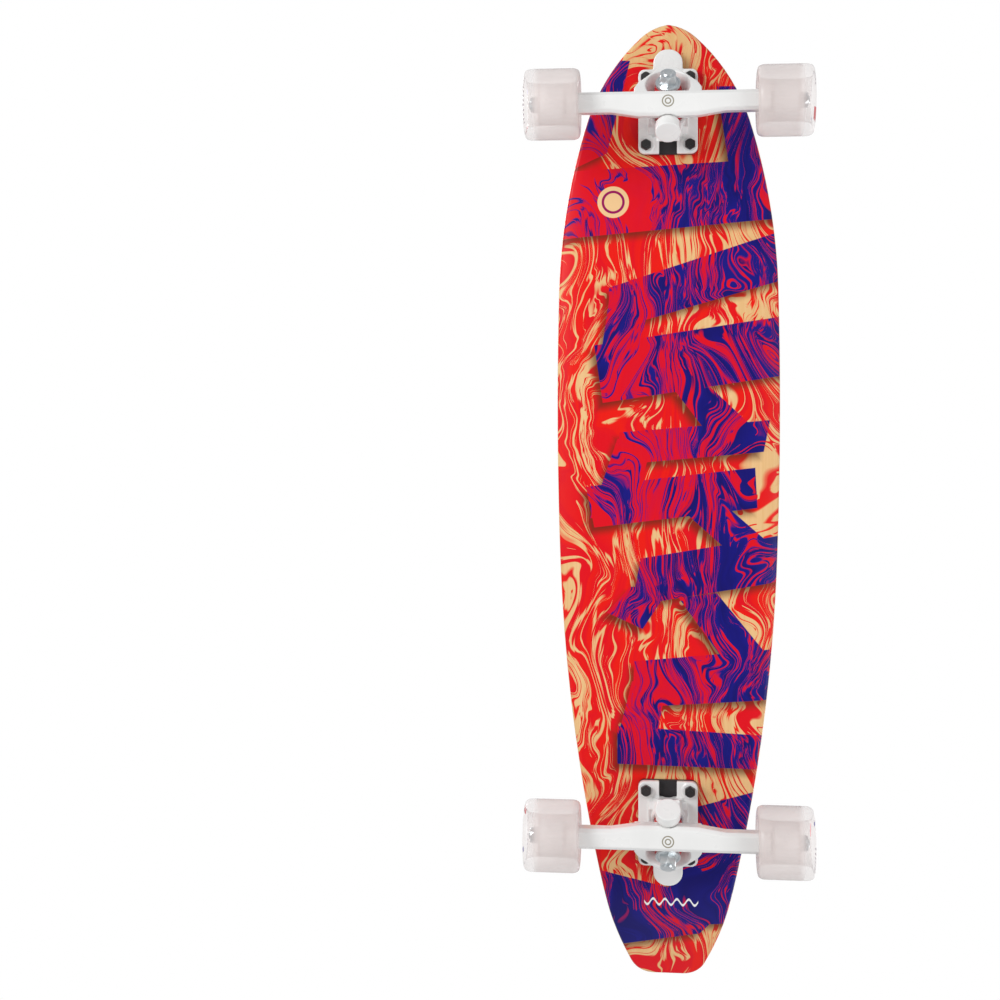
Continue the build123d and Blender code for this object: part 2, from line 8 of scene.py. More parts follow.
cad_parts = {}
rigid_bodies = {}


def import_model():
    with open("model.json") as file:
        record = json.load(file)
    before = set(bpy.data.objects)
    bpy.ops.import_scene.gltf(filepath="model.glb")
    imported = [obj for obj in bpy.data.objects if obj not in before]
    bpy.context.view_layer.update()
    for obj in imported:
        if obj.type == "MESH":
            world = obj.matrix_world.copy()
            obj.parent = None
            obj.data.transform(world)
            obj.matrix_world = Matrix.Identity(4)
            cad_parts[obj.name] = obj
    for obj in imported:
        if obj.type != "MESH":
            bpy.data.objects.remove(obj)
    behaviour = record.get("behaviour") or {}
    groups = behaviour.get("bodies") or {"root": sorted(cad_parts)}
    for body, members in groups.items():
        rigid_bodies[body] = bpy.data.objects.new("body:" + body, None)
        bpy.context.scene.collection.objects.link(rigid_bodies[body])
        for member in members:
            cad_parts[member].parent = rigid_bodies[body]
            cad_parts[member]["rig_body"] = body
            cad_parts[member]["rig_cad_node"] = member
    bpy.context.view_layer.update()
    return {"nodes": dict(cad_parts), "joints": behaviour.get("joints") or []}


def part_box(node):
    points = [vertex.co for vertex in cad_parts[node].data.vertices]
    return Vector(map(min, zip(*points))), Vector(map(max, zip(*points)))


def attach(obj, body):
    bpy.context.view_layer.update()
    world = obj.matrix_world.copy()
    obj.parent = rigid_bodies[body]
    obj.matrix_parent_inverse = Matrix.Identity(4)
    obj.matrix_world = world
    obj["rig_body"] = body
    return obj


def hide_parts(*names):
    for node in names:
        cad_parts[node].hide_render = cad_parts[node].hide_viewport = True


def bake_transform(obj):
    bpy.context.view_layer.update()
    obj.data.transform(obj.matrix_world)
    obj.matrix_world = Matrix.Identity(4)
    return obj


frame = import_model()

ENDS = ("front", "rear")
SIDES = ("left", "right")
JOINTS = {j["name"]: j for j in frame["joints"]}
NODES = frame["nodes"]

# Places and sizes that the looks share, in metres
DECK_LOW, DECK_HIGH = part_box("deck")
NOSE_X = DECK_HIGH.x
DECK_UNDERSIDE = DECK_LOW.z
DECK_THICKNESS = 0.011
PLY_THICKNESS = DECK_THICKNESS / 8
RAIL_START = 0.074
RAIL_RADIUS = 0.090
KICK_X = DECK_LOW.x + 0.108
KICK_RADIUS = 0.130
KICK_ANGLE = math.radians(23)
WEB_HALF = 0.0035
BUSHING_HEIGHT = 0.014
BUSHING_BORE = 0.0049
WHEEL_RADIUS = 0.0325
WHEEL_HALF = 0.0255
CORE_RADIUS = 0.019

# How far each wheel's print is turned on from the last one's, in radians
PRINT_TURN = 1.35


# ------------------------------------------------------------------ material graphs


class Graph:
    """One material's nodes, with a short call for each kind."""

    def __init__(self, name):
        self.material = bpy.data.materials.new(name)
        self.material.use_nodes = True
        self.tree = self.material.node_tree
        self.tree.nodes.clear()
        self.place = self.add("TexCoord").outputs["Object"]
        self.shader = self.add("BsdfPrincipled")
        output = self.add("OutputMaterial")
        self.tree.links.new(self.shader.outputs["BSDF"], output.inputs["Surface"])

    def add(self, kind, **settings):
        node = self.tree.nodes.new("ShaderNode" + kind)
        for key, value in settings.items():
            setattr(node, key, value)
        return node

    def put(self, socket, value):
        """Links a socket to another, or sets its value."""
        if isinstance(value, bpy.types.NodeSocket):
            self.tree.links.new(value, socket)
        else:
            socket.default_value = value

    def math(self, operation, a, b=0.0, c=0.0):
        node = self.add("Math", operation=operation)
        for socket, value in zip(node.inputs, (a, b, c)):
            self.put(socket, value)
        return node.outputs[0]

    def vector(self, operation, a, b=(0, 0, 0)):
        node = self.add("VectorMath", operation=operation)
        self.put(node.inputs[0], a)
        if operation == "SCALE":
            self.put(node.inputs["Scale"], b)
        else:
            self.put(node.inputs[1], b)
        return node.outputs["Value" if operation in ("LENGTH", "DOT_PRODUCT") else "Vector"]

    def split(self, vector):
        node = self.add("SeparateXYZ")
        self.put(node.inputs[0], vector)
        return node.outputs

    def join(self, x, y, z):
        node = self.add("CombineXYZ")
        for socket, value in zip(node.inputs, (x, y, z)):
            self.put(socket, value)
        return node.outputs[0]

    def noise(self, place, scale, detail=2.0, roughness=0.5, distortion=0.0):
        node = self.add("TexNoise")
        self.put(node.inputs["Vector"], place)
        self.put(node.inputs["Scale"], scale)
        self.put(node.inputs["Detail"], detail)
        self.put(node.inputs["Roughness"], roughness)
        self.put(node.inputs["Distortion"], distortion)
        return node

    def ramp(self, factor, stops, smooth=True):
        """A colour ramp from (position, colour) stops."""
        node = self.add("ValToRGB")
        node.color_ramp.interpolation = "EASE" if smooth else "LINEAR"
        elements = node.color_ramp.elements
        while len(elements) > 1:
            elements.remove(elements[-1])
        for index, (position, colour) in enumerate(stops):
            element = elements[0] if index == 0 else elements.new(position)
            element.position = position
            element.color = (*colour, 1.0)
        self.put(node.inputs[0], factor)
        return node.outputs["Color"]

    def stripes(self, factor, rows):
        """Sharp-edged stripes from (start, first colour, last colour) rows."""
        starts = [row[0] for row in rows]
        stops = []
        for (start, first, last), following in zip(rows, starts[1:] + [1.0 + STRIPE_EDGE]):
            stops.append((start, first))
            stops.append((following - STRIPE_EDGE, last))
        return self.ramp(factor, stops, smooth=False)

    def mix(self, factor, a, b):
        node = self.add("Mix", data_type="RGBA")
        self.put(node.inputs[0], factor)
        for socket, value in ((node.inputs[6], a), (node.inputs[7], b)):
            self.put(socket, (*value, 1.0) if isinstance(value, tuple) else value)
        return node.outputs[2]

    def step(self, value, edge, width):
        """0 below the edge and 1 above it, with a soft change over the width."""
        node = self.add("MapRange", interpolation_type="SMOOTHSTEP")
        self.put(node.inputs[0], value)
        self.put(node.inputs[1], edge - width / 2)
        self.put(node.inputs[2], edge + width / 2)
        return node.outputs[0]

    def invert(self, value):
        return self.math("SUBTRACT", 1.0, value)

    def off(self, value, centre):
        """How far the value is from the centre."""
        return self.math("ABSOLUTE", self.math("SUBTRACT", value, centre))

    def near(self, value, centre, reach, width):
        """1 within a reach of the centre and 0 outside it, with a soft change over the width."""
        return self.invert(self.step(self.off(value, centre), reach, width))

    def remap(self, value, low, high, to_low, to_high):
        node = self.add("MapRange")
        for socket, number in zip(node.inputs, (value, low, high, to_low, to_high)):
            self.put(socket, number)
        return node.outputs[0]

    def bump(self, height, strength, distance):
        node = self.add("Bump")
        self.put(node.inputs["Height"], height)
        self.put(node.inputs["Strength"], strength)
        self.put(node.inputs["Distance"], distance)
        return node.outputs["Normal"]

    def set(self, **values):
        """Sets the shader's sockets by name, with _ for a space."""
        for key, value in values.items():
            socket = self.shader.inputs[key.replace("_", " ")]
            if isinstance(value, tuple) and socket.type == "RGBA":
                value = (*value, 1.0)
            self.put(socket, value)
        return self


def dress(node, material):
    """Gives a CAD node or a piece one material."""
    obj = NODES[node] if isinstance(node, str) else node
    obj.data.materials.clear()
    obj.data.materials.append(material)


# ------------------------------------------------------------------ deck


WOOD = (0.84, 0.52, 0.23)
WOOD_PALE = (0.88, 0.58, 0.29)
WOOD_DARK = (0.74, 0.42, 0.16)
PLY_DARK = (0.60, 0.31, 0.12)
ORANGE_RED = (0.84, 0.010, 0.005)
RED = (0.76, 0.004, 0.012)
CRIMSON = (0.66, 0.003, 0.034)
MAGENTA = (0.31, 0.004, 0.100)
NAVY = (0.009, 0.008, 0.215)
NAVY_DARK = (0.006, 0.004, 0.125)
PAINTED_SHADOW = (0.085, 0.022, 0.008)
GLUE = (0.42, 0.24, 0.10)
BARE = (0.0, 0.0, 0.0)
INKED = (1.0, 1.0, 1.0)

# Where the print leaves the wood bare or inks it, and the colours of the zigzag's streaks
STRIPE_EDGE = 0.004
GROUND_STRIPES = [
    (0.000, BARE, BARE),
    (0.354, INKED, INKED),
    (0.376, BARE, BARE),
    (0.414, INKED, INKED),
    (0.428, BARE, BARE),
    (0.466, INKED, INKED),
    (0.534, BARE, BARE),
    (0.554, INKED, INKED),
    (0.634, BARE, BARE),
    (0.650, INKED, INKED),
]
ZIGZAG_STRIPES = [
    (0.000, CRIMSON, RED),
    (0.334, NAVY, NAVY),
    (0.349, CRIMSON, RED),
    (0.389, MAGENTA, NAVY),
    (0.406, CRIMSON, RED),
    (0.444, NAVY_DARK, NAVY),
    (0.474, RED, CRIMSON),
    (0.490, NAVY, NAVY_DARK),
    (0.539, CRIMSON, MAGENTA),
    (0.553, NAVY, NAVY),
    (0.589, RED, RED),
    (0.601, NAVY, NAVY_DARK),
    (0.704, MAGENTA, CRIMSON),
    (0.716, NAVY, NAVY_DARK),
]

# The plain marks printed on the underside and the grip tape
PRINT_EDGE = 0.0006
LINE_EDGE = 0.0005
EMBLEM_PLACE = (0.289, -0.052)
EMBLEM_RADIUS = 0.0150
EMBLEM_RING = (0.0052, 0.0012)
WAVE_FROM_NOSE = 0.835
WAVE_MIDDLE = 0.003
WAVE_HALF_LENGTH = 0.0255
WAVE_HEIGHT = 0.0030
WAVE_TURNS = 560.0
WAVE_HALF_LINE = 0.0012
GRIP_MARK_PLACE = (0.1378, 0.0)
GRIP_MARK_RADIUS = 0.0172
GRIP_MARK_RING = (0.0065, 0.0016)
DASHES_START = 0.359
DASHES_END = 0.504
DASH_PITCH = 0.0145
DASH_HALF_WIDTH = 0.0020

# The printed zigzag on the underside. Each piece is four corners in metres, as the distance from
# the nose and the distance to the left, taken in order round it.
BARS = [
    ((0.140, -0.120), (0.128, 0.120), (0.184, 0.120), (0.205, -0.120)),
    ((0.250, -0.056), (0.193, 0.120), (0.240, 0.120), (0.291, -0.056)),
    ((0.305, -0.070), (0.276, 0.120), (0.332, 0.120), (0.360, -0.062)),
    ((0.388, -0.046), (0.376, 0.096), (0.406, 0.090), (0.419, -0.048)),
    ((0.440, -0.078), (0.421, 0.082), (0.459, 0.084), (0.479, -0.070)),
    ((0.508, -0.026), (0.484, 0.112), (0.528, 0.108), (0.553, -0.034)),
    ((0.606, -0.032), (0.592, 0.104), (0.640, 0.098), (0.650, -0.034)),
    ((0.668, -0.048), (0.674, 0.090), (0.706, 0.084), (0.704, -0.048)),
    ((0.030, -0.120), (0.034, -0.036), (0.122, -0.058), (0.150, -0.120)),
    ((0.060, 0.046), (0.060, 0.120), (0.140, 0.120), (0.140, 0.058)),
    ((0.745, 0.020), (0.716, 0.120), (0.850, 0.120), (0.862, -0.010)),
    ((0.800, -0.090), (0.834, 0.060), (0.868, 0.030), (0.892, -0.090)),
]
LEGS = [
    ((0.262, -0.056), (0.262, -0.018), (0.330, -0.030), (0.330, -0.066)),
    ((0.345, 0.004), (0.345, 0.040), (0.392, 0.090), (0.392, 0.040)),
    ((0.394, -0.048), (0.394, -0.014), (0.470, -0.034), (0.470, -0.074)),
    ((0.462, 0.014), (0.455, 0.052), (0.500, 0.104), (0.503, 0.060)),
    ((0.535, -0.036), (0.535, 0.002), (0.575, -0.024), (0.560, -0.058)),
    ((0.545, 0.010), (0.540, 0.046), (0.604, 0.098), (0.608, 0.056)),
    ((0.625, -0.034), (0.625, 0.000), (0.680, -0.012), (0.680, -0.048)),
]


def wood_grain(g, pale, dark):
    """Long grain along the board."""
    stretched = g.vector("MULTIPLY", g.place, (7.0, 90.0, 90.0))
    broad = g.noise(stretched, 1.0, 4.0, 0.6, 0.4).outputs[0]
    drawn_out = g.vector("MULTIPLY", g.place, (12.0, 620.0, 620.0))
    fibres = g.noise(drawn_out, 1.0, 3.0, 0.7).outputs[0]
    tone = g.math("MULTIPLY_ADD", fibres, 0.45, g.math("MULTIPLY", broad, 0.55))
    return g.mix(g.remap(tone, 0.36, 0.66, 0.0, 1.0), pale, dark)


def marbled(g, u, v):
    """The place on a comb-drawn marbling: two slow folds and a quick curl pull the streaks about."""
    place = g.join(u, v, 0.0)
    for stretch, pull, seed in (
        ((5.2, 8.0, 1.0), 0.085, (3.1, 7.7, 0.4)),
        ((12.0, 17.0, 1.0), 0.038, (8.3, 1.9, 2.6)),
        ((34.0, 40.0, 1.0), 0.0100, (5.5, 6.1, 4.8)),
    ):
        start = g.vector("ADD", g.vector("MULTIPLY", place, stretch), seed)
        push = g.vector("SUBTRACT", g.noise(start, 1.0, 1.0).outputs["Color"], (0.5, 0.5, 0.5))
        place = g.vector("ADD", place, g.vector("SCALE", push, 2.0 * pull))
    return place


def streaks(g, place, along, across, seed, detail):
    """Long streaks in the marbled place."""
    start = g.vector("ADD", g.vector("MULTIPLY", place, (along, across, 1.0)), seed)
    return g.noise(start, 1.0, detail, 0.55).outputs[0]


def quad_field(g, place, corners):
    """Distance inside a four-sided piece; the place holds the two coordinates and a 1."""
    inside = None
    middle = [sum(c[k] for c in corners) / 4 for k in (0, 1)]
    for index, (u0, v0) in enumerate(corners):
        u1, v1 = corners[(index + 1) % 4]
        length = math.hypot(u1 - u0, v1 - v0)
        a, b = (v0 - v1) / length, (u1 - u0) / length
        c = -(a * u0 + b * v0)
        if a * middle[0] + b * middle[1] + c < 0:
            a, b, c = -a, -b, -c
        reach = g.vector("DOT_PRODUCT", place, (a, b, c))
        inside = reach if inside is None else g.math("MINIMUM", inside, reach)
    return inside


def zigzag(g, u, v):
    """Positive inside the printed zigzag, in metres from its edge."""
    place = g.join(u, v, 1.0)
    total = None
    for corners in BARS + LEGS:
        inside = quad_field(g, place, corners)
        total = inside if total is None else g.math("MAXIMUM", total, inside)
    return total


def disc(g, u, v, centre, radius):
    """How far inside a disc a point is."""
    du = g.math("SUBTRACT", u, centre[0])
    dv = g.math("SUBTRACT", v, centre[1])
    away = g.vector("LENGTH", g.join(du, dv, 0.0))
    return g.math("SUBTRACT", radius, away)


def printed_marks(g, colour, x, y, u):
    """The ringed disc behind the front truck and the wave stroke on the kick."""
    emblem = disc(g, x, y, EMBLEM_PLACE, EMBLEM_RADIUS)
    colour = g.mix(g.step(emblem, 0.0, PRINT_EDGE), colour, WOOD_PALE)
    colour = g.mix(g.near(emblem, *EMBLEM_RING, LINE_EDGE), colour, MAGENTA)
    wave = g.math("MULTIPLY", g.math("SINE", g.math("MULTIPLY", y, WAVE_TURNS)), WAVE_HEIGHT)
    off_line = g.math("SUBTRACT", g.math("SUBTRACT", u, WAVE_FROM_NOSE), wave)
    stroke = g.near(off_line, 0.0, WAVE_HALF_LINE, LINE_EDGE)
    short = g.near(y, WAVE_MIDDLE, WAVE_HALF_LENGTH, PRINT_EDGE)
    return g.mix(g.math("MULTIPLY", stroke, short), colour, (0.92, 0.92, 0.90))


def underside_print(g, wood):
    """The marbled print: red streaks on bare wood, and a navy and crimson zigzag with a shadow."""
    x, y, _ = g.split(g.place)
    u = g.math("SUBTRACT", NOSE_X, x)
    flow = marbled(g, u, y)
    broad = streaks(g, flow, 3.0, 30.0, (2.2, 0.7, 0.0), 2.0)
    fine = streaks(g, flow, 5.0, 120.0, (7.1, 3.3, 1.0), 2.0)
    hair = streaks(g, flow, 7.0, 330.0, (1.4, 9.2, 2.0), 1.0)

    # The field that both sets of stripes are cut from: redder on the board's right, with hair-thin veins
    drift = g.noise(g.join(u, y, 0.0), 9.0, 1.0).outputs[0]
    side = g.math("MULTIPLY_ADD", y, -0.62, 0.018)
    drift = g.math("ADD", g.math("MULTIPLY", g.math("SUBTRACT", drift, 0.5), 0.22), side)
    field = g.math("ADD", broad, g.math("MULTIPLY", g.math("SUBTRACT", fine, 0.5), 0.20))
    field = g.math("ADD", field, drift)
    vein = g.near(hair, 0.5, 0.016, 0.014)
    gathered = g.step(g.noise(g.join(u, y, 4.0), 26.0, 1.0).outputs[0], 0.47, 0.12)
    field = g.math("ADD", field, g.math("MULTIPLY", g.math("MULTIPLY", vein, gathered), 0.040))

    red = g.mix(g.remap(fine, 0.42, 0.58, 0.0, 1.0), ORANGE_RED, RED)
    ground = g.mix(g.stripes(field, GROUND_STRIPES), wood, red)
    rough_edge = g.math("MULTIPLY", g.math("SUBTRACT", hair, 0.5), 0.05)
    bars = g.stripes(g.math("ADD", g.invert(field), rough_edge), ZIGZAG_STRIPES)

    shade = zigzag(g, g.math("ADD", u, -0.0060), g.math("ADD", y, 0.0045))
    shade = g.math("MULTIPLY", g.step(shade, 0.0, 0.011), 0.78)
    ground = g.mix(shade, ground, PAINTED_SHADOW)
    colour = g.mix(g.step(zigzag(g, u, y), 0.0, PRINT_EDGE), ground, bars)
    return printed_marks(g, colour, x, y, u)


def ply_height(g):
    """The height above the underside at the board's edge, followed round the rail and the kick."""
    x, y, z = g.split(g.place)
    side = g.math("MAXIMUM", g.math("SUBTRACT", g.math("ABSOLUTE", y), RAIL_START), 0.0)
    drop = g.math("SQRT", g.math("SUBTRACT", RAIL_RADIUS**2, g.math("MULTIPLY", side, side)))
    rise = g.math("SUBTRACT", RAIL_RADIUS, drop)
    level = g.math("SUBTRACT", z, DECK_UNDERSIDE)
    straight = g.math("SUBTRACT", level, rise)
    back = g.math("SUBTRACT", KICK_X, x)
    reach = g.vector("LENGTH", g.join(back, g.math("SUBTRACT", level, KICK_RADIUS), 0.0))
    bent = g.math("SUBTRACT", KICK_RADIUS, reach)
    sine, cosine = math.sin(KICK_ANGLE), math.cos(KICK_ANGLE)
    slope_back = g.math("SUBTRACT", back, KICK_RADIUS * sine)
    slope_up = g.math("SUBTRACT", level, KICK_RADIUS * (1 - cosine))
    sloped = g.math("SUBTRACT", g.math("MULTIPLY", slope_up, cosine), g.math("MULTIPLY", slope_back, sine))
    on_bend = g.math("GREATER_THAN", back, 0.0)
    angle = g.math("ARCTAN2", back, g.math("SUBTRACT", KICK_RADIUS, level))
    on_slope = g.math("GREATER_THAN", angle, KICK_ANGLE)
    height = g.math("ADD", straight, g.math("MULTIPLY", on_bend, g.math("SUBTRACT", bent, straight)))
    return g.math("ADD", height, g.math("MULTIPLY", on_slope, g.math("SUBTRACT", sloped, height)))


def deck_material():
    """The print on the underside, and the maple plies round the edge."""
    g = Graph("printed_maple")
    wood = wood_grain(g, WOOD_PALE, WOOD_DARK)
    face = g.mix(0.35, wood, WOOD)
    normal = g.split(g.add("NewGeometry").outputs["Normal"])[2]
    down = g.step(g.math("MULTIPLY", normal, -1.0), 0.42, 0.08)
    plies = g.math("DIVIDE", ply_height(g), PLY_THICKNESS)
    every_second = g.step(g.off(g.math("MODULO", plies, 2.0), 1.5), 0.5, 0.06)
    glue = g.step(g.off(g.math("FRACT", plies), 0.5), 0.40, 0.12)
    ply = g.mix(g.math("MULTIPLY", every_second, 0.75), g.mix(0.5, wood, WOOD_PALE), PLY_DARK)
    edge = g.mix(g.math("MULTIPLY", glue, 0.55), ply, GLUE)
    colour = g.mix(down, edge, underside_print(g, face))
    pores = g.noise(g.vector("MULTIPLY", g.place, (60.0, 1500.0, 1500.0)), 1.0, 2.0).outputs[0]
    g.set(Base_Color=colour, Roughness=g.remap(pores, 0.3, 0.7, 0.30, 0.42), Coat_Weight=0.08)
    g.set(Coat_Roughness=0.14, Specular_IOR_Level=0.18, Normal=g.bump(pores, 0.08, 0.0002))
    return g.material


def grip_marks(g, colour):
    """A ringed disc and a row of dashes along the middle."""
    x, y, _ = g.split(g.place)
    mark = disc(g, x, y, GRIP_MARK_PLACE, GRIP_MARK_RADIUS)
    colour = g.mix(g.step(mark, 0.0, PRINT_EDGE), colour, (0.72, 0.035, 0.055))
    colour = g.mix(g.near(mark, *GRIP_MARK_RING, PRINT_EDGE), colour, (0.045, 0.04, 0.045))
    along = g.math("SUBTRACT", NOSE_X, x)
    cell = g.math("FRACT", g.math("DIVIDE", g.math("SUBTRACT", along, DASHES_START), DASH_PITCH))
    dash = g.near(cell, 0.5, 0.30, 0.04)
    narrow = g.near(y, 0.0, DASH_HALF_WIDTH, LINE_EDGE)
    begins = g.step(along, DASHES_START, 0.0004)
    ends = g.invert(g.step(along, DASHES_END, 0.0004))
    strip = g.math("MULTIPLY", g.math("MULTIPLY", dash, narrow), g.math("MULTIPLY", begins, ends))
    return g.mix(strip, colour, (0.82, 0.82, 0.82))


def grip_material():
    """Black grit whose grains catch the light."""
    g = Graph("grip_grit")
    grit = g.noise(g.place, 1300.0, 2.0, 0.7).outputs[0]
    cells = g.add("TexVoronoi")
    g.put(cells.inputs["Vector"], g.place)
    g.put(cells.inputs["Scale"], 1250.0)
    cloud = g.noise(g.place, 14.0, 3.0, 0.6).outputs[0]
    tone = g.math("MULTIPLY_ADD", grit, 0.93, g.math("MULTIPLY", cloud, 0.07))
    dark, middle, bright = (0.010, 0.010, 0.011), (0.036, 0.036, 0.039), (0.20, 0.20, 0.205)
    colour = grip_marks(g, g.ramp(tone, [(0.28, dark), (0.50, middle), (0.74, bright)]))
    height = g.math("ADD", cells.outputs["Distance"], grit)
    g.set(Base_Color=colour, Roughness=g.remap(grit, 0.3, 0.7, 0.70, 0.95), Specular_IOR_Level=0.35)
    g.set(Normal=g.bump(height, 0.55, 0.0004))
    return g.material


# ------------------------------------------------------------------ truck materials


TAUPE = (0.30, 0.27, 0.20)
HANGER_RINGS = (0.0050, 0.0024)
HANGER_RINGS_BELOW = 0.0085


def paint_material():
    """Gloss white powder coat with a faint orange peel, and two fine rings under each axle."""
    g = Graph("white_powder_coat")
    peel = g.noise(g.place, 900.0, 2.0).outputs[0]
    soft = g.noise(g.place, 35.0, 3.0).outputs[0]
    colour = g.mix(g.remap(soft, 0.35, 0.65, 0.0, 1.0), (0.90, 0.90, 0.885), (0.86, 0.86, 0.845))
    x, y, z = g.split(g.place)
    for end in ENDS:
        axle = JOINTS[end + "_left_spin"]["pos_m"]
        away = g.vector("LENGTH", g.join(g.math("SUBTRACT", x, axle[0]), y, 0.0))
        nearest = g.math("MINIMUM", g.off(away, HANGER_RINGS[0]), g.off(away, HANGER_RINGS[1]))
        ring = g.invert(g.step(nearest, 0.00055, 0.0002))
        ring = g.math("MULTIPLY", ring, g.math("LESS_THAN", z, axle[2] - HANGER_RINGS_BELOW))
        colour = g.mix(ring, colour, TAUPE)
    g.set(Base_Color=colour, Roughness=g.remap(soft, 0.3, 0.7, 0.24, 0.34), Coat_Weight=0.5)
    g.set(Coat_Roughness=0.12, Normal=g.bump(peel, 0.06, 0.0002))
    return g.material


def metal_material(name, bright, dull, rough):
    """Plated or ground steel with fine scratches."""
    g = Graph(name)
    fine = g.noise(g.place, 1400.0, 3.0, 0.65).outputs[0]
    broad = g.noise(g.place, 160.0, 2.0).outputs[0]
    colour = g.mix(g.remap(broad, 0.35, 0.65, 0.0, 1.0), bright, dull)
    g.set(Base_Color=colour, Metallic=1.0, Roughness=g.remap(fine, 0.3, 0.7, rough * 0.75, rough * 1.3))
    g.set(Normal=g.bump(fine, 0.05, 0.0001))
    return g.material


def plain_material(name, colour, second, rough, grain=700.0, bump=0.15):
    """A moulded or coated surface whose tone and gloss vary a little."""
    g = Graph(name)
    fine = g.noise(g.place, grain, 3.0).outputs[0]
    broad = g.noise(g.place, 45.0, 2.0).outputs[0]
    g.set(Base_Color=g.mix(g.remap(broad, 0.3, 0.7, 0.0, 1.0), colour, second))
    g.set(Roughness=g.remap(fine, 0.3, 0.7, rough * 0.85, rough * 1.15))
    g.set(Normal=g.bump(fine, bump, 0.0002))
    return g.material


def bushing_material():
    """Red urethane that lets a little light in."""
    g = Graph("red_urethane")
    fine = g.noise(g.place, 500.0, 2.0).outputs[0]
    deep = g.noise(g.place, 60.0, 2.0).outputs[0]
    g.set(Base_Color=g.mix(deep, (0.62, 0.006, 0.014), (0.42, 0.003, 0.010)))
    g.set(Roughness=g.remap(fine, 0.3, 0.7, 0.20, 0.32), Subsurface_Weight=0.15)
    g.set(Subsurface_Radius=(0.004, 0.0008, 0.0005), Subsurface_Scale=1.0)
    g.set(Normal=g.bump(fine, 0.08, 0.0002))
    return g.material


# ------------------------------------------------------------------ pieces


def lathe(name, profile, centre, axis, segments=72):
    """Turns a closed (radius, height) profile about an axis through a centre."""
    mesh = bpy.data.meshes.new(name)
    work = bmesh.new()
    turn = Vector(axis).normalized().to_track_quat("Z", "Y").to_matrix().to_4x4()
    place = Matrix.Translation(centre) @ turn
    rings = []
    for step in range(segments):
        angle = 2 * math.pi * step / segments
        cosine, sine = math.cos(angle), math.sin(angle)
        rings.append([work.verts.new(place @ Vector((r * cosine, r * sine, h))) for r, h in profile])
    count = len(profile)
    for step in range(segments):
        here, there = rings[step], rings[(step + 1) % segments]
        for index in range(count):
            following = (index + 1) % count
            work.faces.new((here[index], there[index], there[following], here[following]))
    bmesh.ops.recalc_face_normals(work, faces=work.faces)
    work.to_mesh(mesh)
    work.free()
    for polygon in mesh.polygons:
        polygon.use_smooth = True
    obj = bpy.data.objects.new(name, mesh)
    bpy.context.collection.objects.link(obj)
    return obj


def rounded(points, radius, steps=4):
    """A closed profile with each corner rounded by up to a radius."""
    result = []
    count = len(points)
    for index, corner in enumerate(points):
        here = Vector(corner)
        before = Vector(points[index - 1])
        after = Vector(points[(index + 1) % count])
        reach = min(radius, (before - here).length * 0.45, (after - here).length * 0.45)
        start = here + (before - here).normalized() * reach
        end = here + (after - here).normalized() * reach
        for step in range(steps + 1):
            t = step / steps
            point = start * (1 - t) ** 2 + here * 2 * t * (1 - t) + end * t**2
            result.append((point.x, point.y))
    return result


def cast_copy(node, body, material, voxel=0.0006):
    """A casting with the soft inner and outer radii that a mould leaves."""
    piece = NODES[node].copy()
    piece.data = NODES[node].data.copy()
    piece.name = node + "_casting"
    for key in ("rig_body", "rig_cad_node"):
        if key in piece:
            del piece[key]
    piece.parent = None
    bpy.context.collection.objects.link(piece)
    work = bmesh.new()
    work.from_mesh(piece.data)
    bmesh.ops.remove_doubles(work, verts=work.verts, dist=1e-6)
    work.to_mesh(piece.data)
    work.free()
    remesh = piece.modifiers.new("remesh", "REMESH")
    remesh.mode = "VOXEL"
    remesh.voxel_size = voxel
    soften = piece.modifiers.new("soften", "SMOOTH")
    soften.factor = 0.5
    soften.iterations = 9
    lighten = piece.modifiers.new("lighten", "DECIMATE")
    lighten.ratio = 0.35
    graph = bpy.context.evaluated_depsgraph_get()
    mesh = bpy.data.meshes.new_from_object(piece.evaluated_get(graph))
    piece.modifiers.clear()
    piece.data = mesh
    for polygon in mesh.polygons:
        polygon.use_smooth = True
    dress(piece, material)
    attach(piece, body)
    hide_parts(node)
    return piece


def steering(end):
    """The middle of the hanger's ring and the kingpin's downward direction at one end."""
    joint = JOINTS[end + "_steer"]
    ring = Vector(joint["pos_m"])
    axis = Vector(joint["axis"]).normalized()
    kingpin = Vector((0, 1, 0)).cross(axis)
    if kingpin.z > 0:
        kingpin.negate()
    return ring, kingpin


def make_bushings(end, material):
    """The two bushings, between the washers and the hanger's ring."""
    ring, kingpin = steering(end)
    bore, top = BUSHING_BORE, BUSHING_HEIGHT
    shapes = {
        "deck_bushing": (-1, 0.0140, 0.0132),
        "road_bushing": (1, 0.0129, 0.0115),
    }
    for name, (way, belly, tip) in shapes.items():
        profile = rounded(
            [
                (bore, 0.0),
                (belly - 0.0010, 0.0),
                (belly, 0.0030),
                (belly, top * 0.55),
                (tip, top),
                (bore, top),
            ],
            0.0014,
        )
        start = ring + kingpin * way * WEB_HALF
        piece = lathe(f"{end}_{name}_soft", profile, start, kingpin * way)
        dress(piece, material)
        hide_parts(f"{end}_{name}")
        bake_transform(piece)


